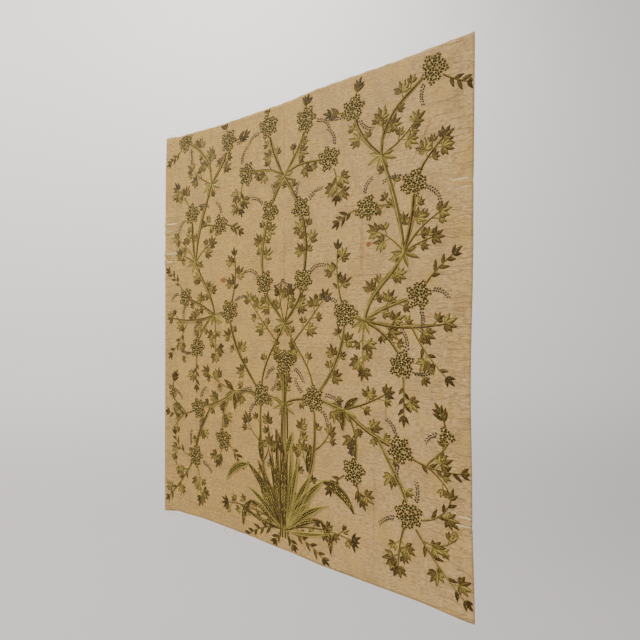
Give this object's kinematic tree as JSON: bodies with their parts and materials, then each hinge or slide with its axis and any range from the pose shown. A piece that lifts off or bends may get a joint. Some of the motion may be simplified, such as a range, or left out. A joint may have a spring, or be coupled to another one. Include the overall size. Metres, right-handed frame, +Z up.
{
  "type": "embroidered wall hanging panel",
  "caption": "Flat rectangular silk panel, worked all over in raised metal thread with a flowering plant that grows from a clump of long leaves, held up by its top edge.",
  "frame": {"origin": "middle of the top edge, at the back face of the cloth", "axes": "+X to the viewer's right, +Y out of the back of the cloth, +Z up along the cloth's height"},
  "size_m": [0.97, 0.004, 1.1505],
  "materials": {
    "slub_silk": "tan slub plain-weave silk, aged, soft sheen, faint brown marks",
    "stem_metal_thread": "olive-gold couched metal thread with dark outlines",
    "flower_metal_thread": "dark brown star florets with pale gold centres",
    "blade_metal_thread": "dark olive-brown brick couching with gold edges",
    "silk_thread": "loose pale silk thread, matt"
  },
  "bodies": {
    "root": {"apron_head_left": "flower_metal_thread", "apron_head_right": "flower_metal_thread", "arm_head_left": "flower_metal_thread", "arm_head_right": "flower_metal_thread", "bower_head_left": "flower_metal_thread", "bower_head_right": "flower_metal_thread", "centre_head": "flower_metal_thread", "corner_head_left": "flower_metal_thread", "corner_head_right": "flower_metal_thread", "crown_head_left": "flower_metal_thread", "crown_head_right": "flower_metal_thread", "crown_ruff": "stem_metal_thread", "eave_head_left": "flower_metal_thread", "eave_head_right": "flower_metal_thread", "eave_ruff_left": "stem_metal_thread", "eave_ruff_right": "stem_metal_thread", "elbow_head_left": "flower_metal_thread", "elbow_head_right": "flower_metal_thread", "elbow_ruff_left": "stem_metal_thread", "elbow_ruff_right": "stem_metal_thread", "fan_head_left": "flower_metal_thread", "fan_head_right": "flower_metal_thread", "flank_head_left": "flower_metal_thread", "flank_head_right": "flower_metal_thread", "foot_head_left": "flower_metal_thread", "foot_head_right": "flower_metal_thread", "ground_cloth": "slub_silk", "heart_head_left": "flower_metal_thread", "heart_head_right": "flower_metal_thread", "heart_ruff": "stem_metal_thread", "hip_head_left": "flower_metal_thread", "hip_head_right": "flower_metal_thread", "leaf_clump": "blade_metal_thread", "loose_thread_hem": "silk_thread", "loose_thread_loop": "silk_thread", "loose_thread_top": "silk_thread", "niche_head_left": "flower_metal_thread", "niche_head_right": "flower_metal_thread", "rim_bud_left": "flower_metal_thread", "rim_bud_right": "flower_metal_thread", "shoulder_head_left": "flower_metal_thread", "shoulder_head_right": "flower_metal_thread", "shoulder_ruff_left": "stem_metal_thread", "shoulder_ruff_right": "stem_metal_thread", "trunk_ruff": "stem_metal_thread", "waist_head_left": "flower_metal_thread", "waist_head_right": "flower_metal_thread", "waist_ruff_left": "stem_metal_thread", "waist_ruff_right": "stem_metal_thread"}
  },
  "joints": []
}
